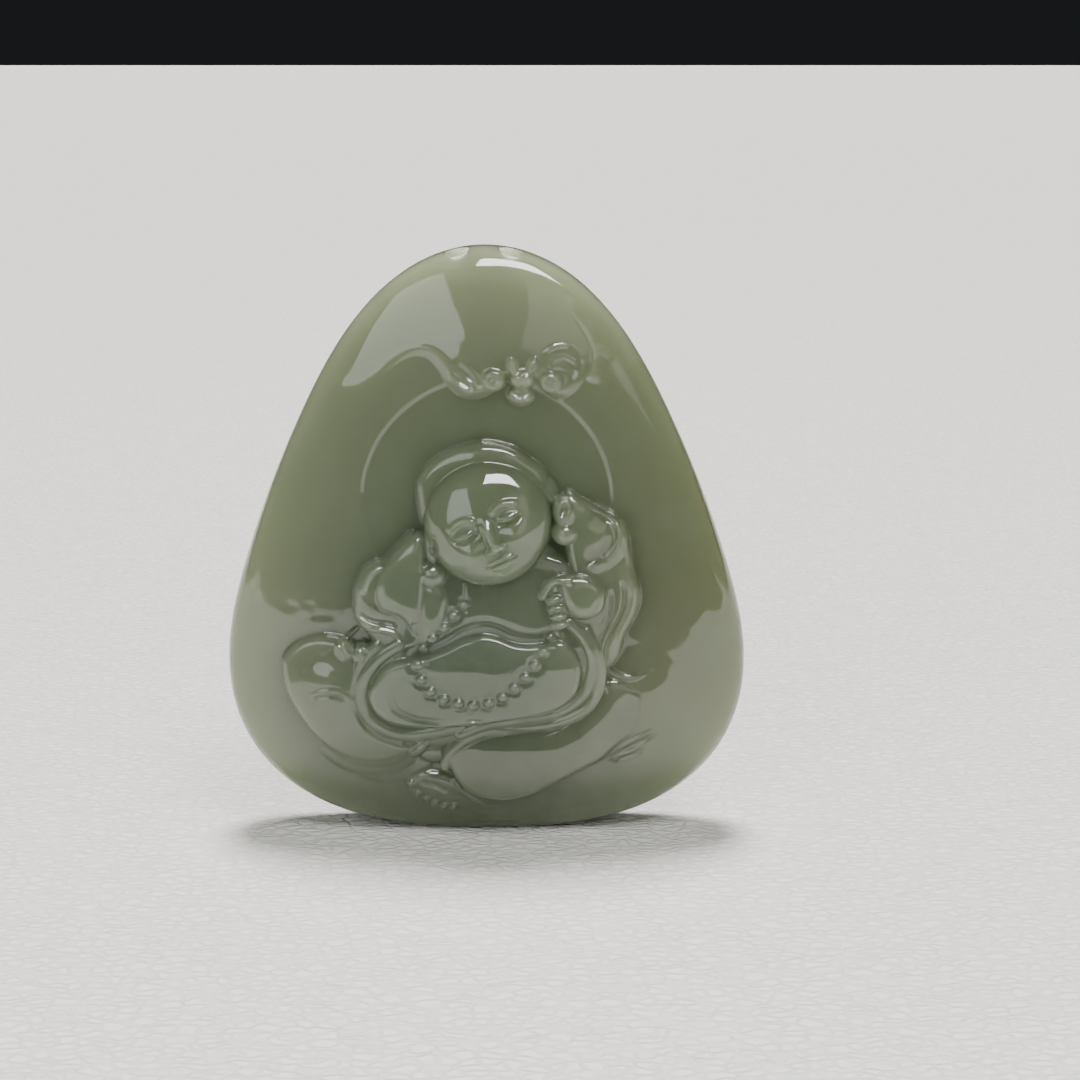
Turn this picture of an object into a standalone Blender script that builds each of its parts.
"""A carved jade pendant: a seated monk with beads and a sack, under a bat, in relief on a rounded plaque.

The real pendant is one stone. Here the stone is divided along its carved contours, so that each motif is
a solid of its own, a hair's width clear of its neighbours. Metres, +Z up, the carved face towards -Y, and
the origin at the middle of the small flat that the pendant stands on. Left and right are the viewer's.
"""

import math
from collections import namedtuple

import bmesh
import bpy
from mathutils import Matrix, Vector

MM = 0.001

# The plaque. Its outline is a rounded triangle: a circle with waves that are symmetric left to right.
OUTLINE_CENTRE_Z = 21.7 * MM
OUTLINE_RADIUS = 22.72 * MM
OUTLINE_WAVES = {1: 0.11 * MM, 2: 1.96 * MM, 3: 2.42 * MM, 4: -0.03 * MM, 5: 0.25 * MM, 6: 0.18 * MM}
FRONT_DEPTH = 4.8 * MM
BACK_DEPTH = 3.6 * MM
BACK_FLAT_Y = 3.1 * MM
CROWN_POWER = 2.4  # how flat the dome is in its middle
EDGE_POWER = 4.0  # how blunt the rounded edge is
PLAQUE_SIDES = 64
PLAQUE_RINGS = 20

# The cord channel: two slanting bores from the top edge, which meet inside the stone.
BORE_RADIUS = 0.85 * MM
BORE_SPREAD = 2.3 * MM
BORE_MEETING_Z = 44.8 * MM
BORE_Y = -1.3 * MM
BORE_OVERSHOOT = 4 * MM

# The halo: a circle cut as a fine groove, which shows only beside the figure.
HALO_X = 0.0 * MM
HALO_Z = 28.7 * MM
HALO_RADIUS = 10.75 * MM
HALO_ARCS_DEG = ((-59, -20), (38, 84))
HALO_GROOVE_RADIUS = 0.2 * MM
HALO_STEPS = 14

# Relief. The tables below are drawn at this height below where their shapes stand, in millimetres.
LIFT = 0.95
CLEARANCE = 0.1 * MM
BEAD_COUNT = 18
BEAD_RADIUS = 0.6 * MM
BEAD_SINK = 0.15 * MM
STEPS_PER_SPAN = 4

# The head leans to the left. Face features are placed in its own frame, from its middle.
HEAD_X = 0.1
HEAD_Z = 26.2
HEAD_HALF = 5.4
HEAD_TILT = 23

JADE_COLOUR = (0.20, 0.25, 0.155, 1.0)
JADE_ROUGHNESS = 0.12

# A cushion of stone within an outline, a raised roll along a route, and a raised sheet within an outline.
Cushion = namedtuple("Cushion", "name outline height sides")
Roll = namedtuple("Roll", "name route radius")
Sheet = namedtuple("Sheet", "name outline height")


def ellipse(x, z, half_x, half_z, tilt=0):
    """Twelve points of an ellipse, tilted by so many degrees."""
    lean = math.radians(tilt)
    found = []
    for step in range(12):
        turn = math.tau * step / 12
        over, up = half_x * math.cos(turn), half_z * math.sin(turn)
        found.append(
            (x + over * math.cos(lean) - up * math.sin(lean), z + over * math.sin(lean) + up * math.cos(lean))
        )
    return tuple(found)


def on_head(over, up, half_x, half_z, tilt=0):
    """An ellipse in the head's own frame."""
    lean = math.radians(HEAD_TILT)
    x = HEAD_X + over * math.cos(lean) - up * math.sin(lean)
    z = HEAD_Z + over * math.sin(lean) + up * math.cos(lean)
    return ellipse(x, z, half_x, half_z, tilt + HEAD_TILT)


# From the foremost to the lowest, in millimetres: each gives way to those above it.
CUSHIONS = (
    Cushion(
        "bat_body",
        (
            (2.8, 35.9), (3.7, 36.5), (3.9, 38.0), (4.4, 39.9), (3.5, 39.4),
            (2.8, 39.3), (1.9, 39.9), (1.8, 38.2), (1.8, 36.7),
        ),
        1.9,
        18,
    ),
    Cushion("bat_left_curl", ellipse(0.5, 38.4, 0.95, 0.95), 1.1, 12),
    Cushion("bat_right_curl", ellipse(5.4, 38.2, 1.0, 1.0), 1.1, 12),
    Cushion("head", ellipse(HEAD_X, HEAD_Z, HEAD_HALF, HEAD_HALF), 3.2, 32),
    Cushion(
        "left_ear",
        (
            (-3.9, 25.4), (-5.1, 25.3), (-5.5, 23.8), (-5.6, 22.6), (-6.0, 21.5),
            (-5.4, 20.4), (-4.4, 20.2), (-3.4, 21.0), (-3.4, 22.3), (-3.7, 23.8),
        ),
        1.9,
        16,
    ),
    Cushion(
        "right_ear",
        (
            (5.9, 28.4), (7.1, 28.5), (7.5, 27.4), (7.4, 26.5), (7.9, 25.3),
            (7.2, 24.2), (6.1, 24.1), (5.5, 25.0), (5.8, 26.6),
        ),
        1.9,
        16,
    ),
    Cushion("hand", ellipse(7.4, 19.5, 2.4, 2.0, 20), 2.5, 20),
    Cushion("sack_neck", ellipse(-11.2, 15.3, 1.8, 1.1, -12), 1.9, 16),
    Cushion(
        "belly",
        (
            (-8.7, 13.2), (-8.1, 15.2), (-6.2, 15.6), (-3.7, 15.8), (-2.0, 17.0), (-0.3, 17.8),
            (1.7, 17.8), (4.0, 17.2), (6.0, 16.9), (7.6, 15.4), (8.1, 13.0), (7.0, 10.6),
            (4.5, 9.4), (0.0, 8.9), (-4.0, 8.9), (-7.2, 10.2),
        ),
        2.8,
        32,
    ),
    Cushion("left_breast", ellipse(-4.9, 18.0, 1.7, 2.5, 14), 1.7, 16),
    Cushion(
        "left_sleeve",
        (
            (-6.0, 24.4), (-8.3, 23.3), (-10.5, 21.8), (-11.3, 19.8), (-10.8, 17.7), (-9.4, 16.0),
            (-7.7, 14.9), (-6.4, 16.0), (-5.8, 18.4), (-5.4, 21.4),
        ),
        2.0,
        24,
    ),
    Cushion(
        "right_sleeve",
        (
            (9.6, 26.7), (11.7, 25.2), (12.9, 22.6), (13.1, 20.4), (12.7, 18.1), (11.7, 15.8),
            (10.2, 13.3), (9.0, 15.6), (9.1, 18.4), (8.5, 21.6), (8.2, 24.8),
        ),
        1.7,
        24,
    ),
    Cushion("knot", ellipse(-5.8, 7.1, 1.4, 0.8, 30), 1.6, 12),
    Cushion(
        "foot",
        (
            (-6.9, 4.3), (-5.6, 5.1), (-3.6, 4.6), (-2.0, 3.7), (-0.6, 2.4), (-1.4, 1.7),
            (-3.7, 1.8), (-5.8, 2.5), (-6.9, 3.4),
        ),
        1.2,
        20,
    ),
    Cushion(
        "sack",
        (
            (-15.6, 16.2), (-13.2, 16.6), (-11.4, 15.8), (-10.3, 14.0), (-10.7, 11.7), (-10.2, 9.2),
            (-8.9, 7.0), (-9.3, 5.6), (-12.6, 6.0), (-14.6, 7.7), (-16.5, 10.3), (-17.2, 12.8),
            (-17.0, 14.7),
        ),
        2.1,
        28,
    ),
    Cushion(
        "right_knee",
        (
            (-2.3, 7.9), (0.5, 8.6), (3.1, 8.8), (5.7, 8.9), (9.0, 10.3), (12.4, 9.8), (15.2, 8.7),
            (13.6, 7.0), (10.3, 5.0), (7.0, 3.3), (3.4, 1.9), (0.5, 2.0), (-2.4, 3.6), (-3.7, 6.1),
        ),
        2.2,
        32,
    ),
    Cushion(
        "left_knee",
        (
            (-12.0, 5.8), (-10.3, 7.7), (-7.8, 8.0), (-5.0, 7.8), (-3.9, 6.3), (-5.0, 4.9),
            (-7.9, 3.8), (-10.6, 4.2),
        ),
        1.5,
        24,
    ),
    Cushion(
        "chest",
        (
            (-2.9, 17.1), (-2.8, 19.2), (-2.6, 20.8), (-1.4, 22.0), (1.0, 22.4), (3.4, 21.8),
            (5.0, 20.9), (5.4, 19.0), (4.8, 17.4), (2.0, 17.2), (-1.0, 17.2),
        ),
        1.2,
        24,
    ),
)
# Smaller shapes that are one body with the piece they stand on.
FEATURES = {
    "head": (
        Cushion("nose_bridge", on_head(0.0, -0.9, 0.42, 1.7), 0.5, 10),
        Cushion("nose_tip", on_head(0.0, -2.1, 0.95, 0.6), 0.75, 12),
        Cushion("left_brow", on_head(-2.1, 1.2, 1.35, 0.3, 8), 0.22, 12),
        Cushion("right_brow", on_head(2.1, 1.2, 1.35, 0.3, -8), 0.22, 12),
        Cushion("left_eyelid", on_head(-2.1, 0.0, 1.1, 0.5), 0.3, 12),
        Cushion("right_eyelid", on_head(2.1, 0.0, 1.1, 0.5), 0.3, 12),
        Cushion("upper_lip", on_head(0.0, -3.1, 1.3, 0.32), 0.4, 12),
        Cushion("lower_lip", on_head(0.0, -3.6, 1.0, 0.36), 0.45, 12),
        Cushion("chin", on_head(0.0, -4.4, 1.2, 0.5), 0.3, 12),
    ),
    "hand": (
        Cushion("thumb", ellipse(5.3, 20.6, 1.2, 0.5, 40), 0.6, 10),
        Cushion("first_finger", ellipse(6.0, 19.6, 0.95, 0.42, -10), 0.45, 10),
        Cushion("second_finger", ellipse(6.2, 18.8, 0.95, 0.42, -10), 0.45, 10),
        Cushion("third_finger", ellipse(6.5, 18.0, 0.85, 0.4, -15), 0.45, 10),
    ),
    "foot": tuple(
        Cushion(f"toe_{number}", ellipse(x, z, size, size), 0.5, 10)
        for number, (x, z, size) in enumerate(
            ((-6.4, 3.7, 0.7), (-5.5, 2.7, 0.55), (-4.5, 2.2, 0.5), (-3.6, 1.95, 0.45), (-2.8, 1.9, 0.4)), 1
        )
    ),
}
ROLLS = (
    Roll("cap", ((-5.9, 28.6), (-4.6, 30.9), (-2.6, 32.2), (-0.2, 32.8), (2.4, 32.3), (4.6, 30.9)), 0.75),
    Roll("collar", ((10.2, 26.2), (11.6, 25.4), (11.9, 24.0), (10.9, 22.9), (9.0, 22.4)), 0.5),
    Roll("upper_ribbon", ((10.6, 12.6), (11.9, 12.2), (13.3, 12.4), (14.4, 13.5)), 0.45),
    Roll("lower_ribbon", ((10.3, 10.9), (11.6, 10.5), (13.1, 10.6), (14.4, 11.2)), 0.45),
    Roll("left_robe_edge", ((-9.6, 14.6), (-10.1, 12.6), (-9.7, 10.6), (-8.2, 8.9), (-5.4, 7.9)), 0.5),
    Roll("right_robe_edge", ((7.2, 17.0), (8.8, 15.1), (9.2, 13.0), (8.3, 10.9), (6.0, 9.5)), 0.5),
    Roll("sack_fold", ((-14.6, 11.3), (-13.4, 11.6), (-12.2, 11.5), (-11.2, 11.0)), 0.3),
    Roll(
        "drape_hem",
        ((-2.2, 4.6), (0.0, 3.1), (3.0, 2.9), (6.4, 4.1), (9.8, 5.8), (13.0, 7.5)),
        0.35,
    ),
)
SHEETS = (
    Sheet(
        "bat_left_wing",
        (
            (0.3, 37.0), (-1.1, 36.4), (-2.5, 36.9), (-3.6, 38.6), (-4.6, 40.2), (-5.8, 40.7),
            (-7.1, 40.1), (-8.7, 38.4), (-11.1, 37.6), (-11.6, 38.9), (-9.2, 41.2), (-5.9, 42.9),
            (-2.9, 42.3), (-0.9, 40.3),
        ),
        0.9,
    ),
    Sheet(
        "bat_right_wing",
        (
            (5.4, 36.9), (6.6, 36.6), (8.0, 37.6), (8.8, 39.5), (10.0, 40.0), (11.4, 38.8),
            (12.6, 37.6), (12.4, 39.3), (10.6, 41.3), (8.2, 43.0), (5.7, 42.9), (5.0, 40.4),
        ),
        0.9,
    ),
)
# The string of beads hangs from the neck, round the belly and up to the hand.
BEAD_ROUTE = (
    (-1.9, 19.2), (-4.1, 16.5), (-5.7, 13.9), (-4.7, 11.6), (-1.9, 10.4),
    (1.1, 10.7), (3.3, 12.5), (4.9, 14.7), (5.7, 16.4),
)


def outline_radius(turn):
    """How far the plaque's edge is from its centre, at a turn from straight up."""
    return OUTLINE_RADIUS + sum(high * math.cos(n * turn) for n, high in OUTLINE_WAVES.items())


def ground_y(x, z):
    """Where the plaque's front is, under any relief."""
    up = z - OUTLINE_CENTRE_Z
    rim_share = math.hypot(x, up) / outline_radius(math.atan2(x, up))
    return -FRONT_DEPTH * max(0.0, 1 - rim_share**CROWN_POWER) ** (1 / EDGE_POWER)


def lifted(points):
    return [(x, z + LIFT) for x, z in points]


def smooth_route(corners, steps):
    """Points on a smooth curve through the corners (Catmull-Rom), ends included."""
    closed = corners[0] == corners[-1]
    before_first = corners[-2] if closed else corners[0]
    after_last = corners[1] if closed else corners[-1]
    ends = [before_first, *corners, after_last]
    found = []
    for before, start, end, after in zip(ends, ends[1:], ends[2:], ends[3:]):
        for step in range(steps):
            t = step / steps
            bend = [2 * b - 5 * c + 4 * d - e for b, c, d, e in zip(before, start, end, after)]
            twist = [3 * (c - d) + e - b for b, c, d, e in zip(before, start, end, after)]
            found.append(
                tuple(
                    c + 0.5 * ((d - b) * t + p * t**2 + q * t**3)
                    for b, c, d, p, q in zip(before, start, end, bend, twist)
                )
            )
    return [*found, corners[-1]]


def evenly_along(points, count):
    """That many points, spaced evenly along a line."""
    lengths = [math.dist(a, b) for a, b in zip(points, points[1:])]
    found = []
    for i in range(count):
        left = sum(lengths) * i / (count - 1)
        span = 0
        while span < len(lengths) - 1 and left > lengths[span]:
            left -= lengths[span]
            span += 1
        share = min(1.0, left / lengths[span])
        found.append([a + (b - a) * share for a, b in zip(points[span], points[span + 1])])
    return found


class Reach:
    """A closed outline in metres, seen from its middle: how far its edge is in each direction."""

    def __init__(self, outline):
        points = smooth_route(lifted([*outline, outline[0]]), STEPS_PER_SPAN)[:-1]
        self.x = sum(p[0] for p in points) / len(points) * MM
        self.z = sum(p[1] for p in points) / len(points) * MM
        self.polar = sorted(
            (math.atan2(x * MM - self.x, z * MM - self.z), math.hypot(x * MM - self.x, z * MM - self.z))
            for x, z in points
        )
        self.largest = max(far for turn, far in self.polar)

    def at(self, turn):
        """The distance of the edge at a turn from straight up."""
        last = self.polar[-1]
        span = [(last[0] - math.tau, last[1]), *self.polar, (self.polar[0][0] + math.tau, self.polar[0][1])]
        for (low, near_far), (high, next_far) in zip(span, span[1:]):
            if low <= turn <= high:
                return near_far + (next_far - near_far) * (turn - low) / max(high - low, 1e-9)
        return last[1]

    def rise(self, x, z):
        """From 1 in the middle to 0 at the edge, as a round dome goes."""
        over, up = x - self.x, z - self.z
        share = math.hypot(over, up) / self.at(math.atan2(over, up))
        return math.sqrt(max(0.0, 1 - share**2))


REACHES = {cushion.name: Reach(cushion.outline) for cushion in CUSHIONS}


def surface_y(x, z):
    """Where the front is at a point, with the cushions on it."""
    highest = max(cushion.height * MM * REACHES[cushion.name].rise(x, z) for cushion in CUSHIONS)
    return ground_y(x, z) - highest


def clear_scene():
    for obj in list(bpy.data.objects):
        bpy.data.objects.remove(obj)


def new_collection(name):
    collection = bpy.data.collections.new(name)
    bpy.context.scene.collection.children.link(collection)
    return collection


def jade_material():
    material = bpy.data.materials.new("jade")
    material.use_nodes = True
    shader = material.node_tree.nodes["Principled BSDF"]
    shader.inputs["Base Color"].default_value = JADE_COLOUR
    shader.inputs["Roughness"].default_value = JADE_ROUGHNESS
    return material


def add_object(name, mesh, collection):
    obj = bpy.data.objects.new(name, mesh)
    collection.objects.link(obj)
    return obj


def as_cutter(obj):
    obj.hide_render = True
    obj.display_type = "WIRE"
    return obj


def finish_part(obj, material):
    obj.data.materials.append(material)
    obj.data.shade_smooth()


def mesh_from(build):
    """A mesh filled by a function that works on a bmesh."""
    shape = bmesh.new()
    build(shape)
    mesh = bpy.data.meshes.new("shape")
    shape.to_mesh(mesh)
    shape.free()
    return mesh


def plaque_mesh(grow, flat_back=False):
    """The plaque's shape, made this much larger on every side. Its poles are its front and its back."""

    def build(shape):
        bmesh.ops.create_uvsphere(shape, u_segments=PLAQUE_SIDES, v_segments=PLAQUE_RINGS, radius=1)
        for vertex in shape.verts:
            turn = math.atan2(vertex.co.x, vertex.co.y)
            forward = vertex.co.z
            rim_share = math.hypot(vertex.co.x, vertex.co.y) ** (2 / CROWN_POWER)
            reach = (outline_radius(turn) + grow) * rim_share
            depth = (FRONT_DEPTH if forward > 0 else BACK_DEPTH) + grow
            y = -math.copysign(depth * abs(forward) ** (2 / EDGE_POWER), forward)
            if flat_back:
                y = min(y, BACK_FLAT_Y)
            vertex.co = (reach * math.sin(turn), y, OUTLINE_CENTRE_Z + reach * math.cos(turn))

    return mesh_from(build)


def cushion_mesh(cushion, grow, base_y):
    """A dome within the cushion's outline, above and below a base surface."""
    reach = Reach(cushion.outline)

    def build(shape):
        bmesh.ops.create_uvsphere(
            shape, u_segments=cushion.sides, v_segments=cushion.sides // 2, radius=1
        )
        for vertex in shape.verts:
            turn = math.atan2(vertex.co.x, vertex.co.y)
            away = (reach.at(turn) + grow) * math.hypot(vertex.co.x, vertex.co.y)
            x, z = reach.x + away * math.sin(turn), reach.z + away * math.cos(turn)
            vertex.co = (x, base_y(x, z) - vertex.co.z * (cushion.height * MM + grow), z)

    return mesh_from(build)


def ball_mesh(middle, radius):
    def build(shape):
        bmesh.ops.create_uvsphere(
            shape, u_segments=10, v_segments=6, radius=radius, matrix=Matrix.Translation(middle)
        )

    return mesh_from(build)


def solid_from_curve(name, curve, collection):
    """A closed mesh object with the shape of a curve, which is then removed."""
    guide = bpy.data.objects.new(name + "_guide", curve)
    collection.objects.link(guide)
    bpy.context.view_layer.update()
    graph = bpy.context.evaluated_depsgraph_get()
    mesh = bpy.data.meshes.new_from_object(guide.evaluated_get(graph))
    shape = bmesh.new()
    shape.from_mesh(mesh)
    bmesh.ops.remove_doubles(shape, verts=shape.verts, dist=0.001 * MM)
    bmesh.ops.recalc_face_normals(shape, faces=shape.faces)
    shape.to_mesh(mesh)
    shape.free()
    obj = add_object(name, mesh, collection)
    obj.matrix_world = guide.matrix_world
    bpy.data.objects.remove(guide)
    return obj


def tube(name, points, radius, collection):
    curve = bpy.data.curves.new(name, "CURVE")
    curve.dimensions = "3D"
    curve.bevel_depth = radius
    curve.bevel_resolution = 2
    curve.use_fill_caps = True
    spline = curve.splines.new("POLY")
    spline.points.add(len(points) - 1)
    for spot, (x, y, z) in zip(spline.points, points):
        spot.co = (x, y, z, 1)
    return solid_from_curve(name, curve, collection)


def prism(name, outline, collection):
    """A flat outline in the XZ plane, extruded forwards from the middle of the plaque."""
    curve = bpy.data.curves.new(name, "CURVE")
    curve.dimensions = "2D"
    curve.fill_mode = "BOTH"
    curve.extrude = FRONT_DEPTH
    spline = curve.splines.new("POLY")
    spline.use_cyclic_u = True
    points = smooth_route(lifted([*outline, outline[0]]), STEPS_PER_SPAN)[:-1]
    spline.points.add(len(points) - 1)
    for spot, (x, z) in zip(spline.points, points):
        spot.co = (x * MM, z * MM, 0, 1)
    obj = solid_from_curve(name, curve, collection)
    for vertex in obj.data.vertices:
        x, z, forward = vertex.co
        vertex.co = (x, -FRONT_DEPTH - forward, z)
    return obj


def combine(obj, other, operation):
    modifier = obj.modifiers.new(f"{operation.lower()}_{other.name}", "BOOLEAN")
    modifier.operation = operation
    modifier.object = other


def circle_round(points):
    """The middle and radius of a circle round some points, for finding a piece's neighbours."""
    middle = Vector((sum(p[0] for p in points), sum(p[1] for p in points))) / len(points)
    return middle, max((Vector(p) - middle).length for p in points)


def make_plaque(parts, cutters, material):
    plaque = add_object("plaque", plaque_mesh(0, flat_back=True), parts)
    below = Matrix.Translation((0, 0, -30 * MM))
    block = mesh_from(lambda shape: bmesh.ops.create_cube(shape, size=60 * MM, matrix=below))
    combine(plaque, as_cutter(add_object("floor_cutter", block, cutters)), "DIFFERENCE")

    meeting = Vector((0, BORE_Y, BORE_MEETING_Z))
    rise = OUTLINE_CENTRE_Z + outline_radius(0) + BORE_OVERSHOOT - BORE_MEETING_Z
    reach = BORE_SPREAD * rise / (rise - BORE_OVERSHOOT)
    ends = [meeting + Vector((side * reach, 0, rise)) for side in (-1, 1)]
    bore = tube("bore_cutter", (ends[0], meeting, ends[1]), BORE_RADIUS, cutters)
    combine(plaque, as_cutter(bore), "DIFFERENCE")

    for (first, last), name in zip(HALO_ARCS_DEG, ("left_halo_cutter", "right_halo_cutter")):
        points = []
        for step in range(HALO_STEPS + 1):
            turn = math.radians(first + (last - first) * step / HALO_STEPS)
            x, z = HALO_X + HALO_RADIUS * math.sin(turn), HALO_Z + HALO_RADIUS * math.cos(turn)
            points.append((x, ground_y(x, z), z))
        groove = tube(name, points, HALO_GROOVE_RADIUS, cutters)
        combine(plaque, as_cutter(groove), "DIFFERENCE")
    finish_part(plaque, material)


def main():
    clear_scene()
    parts = new_collection("jade_pendant")
    cutters = new_collection("cutters")
    material = jade_material()
    make_plaque(parts, cutters, material)
    stone = as_cutter(add_object("stone_cutter", plaque_mesh(CLEARANCE), cutters))
    placed = []  # the circle round each piece so far, and the cutters that clear it

    def carve(obj, circle, clearances):
        """Clears the piece of the plaque and of the pieces in front of it, and keeps its own cutters."""
        combine(obj, stone, "DIFFERENCE")
        for (middle, radius), neighbours in placed:
            if (circle[0] - middle).length < circle[1] + radius:
                for cutter in neighbours:
                    combine(obj, cutter, "DIFFERENCE")
        finish_part(obj, material)
        placed.append((circle, [as_cutter(cutter) for cutter in clearances]))

    beads = evenly_along(smooth_route(lifted(BEAD_ROUTE), STEPS_PER_SPAN), BEAD_COUNT)
    for number, (x, z) in enumerate(beads, 1):
        name = f"bead_{number:02d}"
        middle = Vector((x * MM, surface_y(x * MM, z * MM) + BEAD_SINK, z * MM))
        obj = add_object(name, ball_mesh(middle, BEAD_RADIUS), parts)
        larger = add_object(name + "_clearance", ball_mesh(middle, BEAD_RADIUS + CLEARANCE), cutters)
        carve(obj, (Vector((x, z)), BEAD_RADIUS / MM + 0.5), [larger])

    for cushion in CUSHIONS:
        obj = add_object(cushion.name, cushion_mesh(cushion, 0, ground_y), parts)
        larger = add_object(
            cushion.name + "_clearance", cushion_mesh(cushion, CLEARANCE, ground_y), cutters
        )
        clearances = [larger]
        for feature in FEATURES.get(cushion.name, ()):
            raised = add_object(feature.name, cushion_mesh(feature, 0, surface_y), cutters)
            combine(obj, as_cutter(raised), "UNION")
            clearances.append(
                add_object(
                    feature.name + "_clearance", cushion_mesh(feature, CLEARANCE, surface_y), cutters
                )
            )
        carve(obj, circle_round(lifted(cushion.outline)), clearances)

    for roll in ROLLS:
        flat = smooth_route([(x * MM, z * MM) for x, z in lifted(roll.route)], STEPS_PER_SPAN)
        points = [(x, surface_y(x, z), z) for x, z in flat]
        obj = tube(roll.name, points, roll.radius * MM, parts)
        larger = tube(roll.name + "_clearance", points, roll.radius * MM + CLEARANCE, cutters)
        carve(obj, circle_round(lifted(roll.route)), [larger])

    for sheet in SHEETS:
        obj = prism(sheet.name, sheet.outline, parts)
        top = as_cutter(add_object(sheet.name + "_top", plaque_mesh(sheet.height * MM), cutters))
        combine(obj, top, "INTERSECT")
        carve(obj, circle_round(lifted(sheet.outline)), [top])


main()
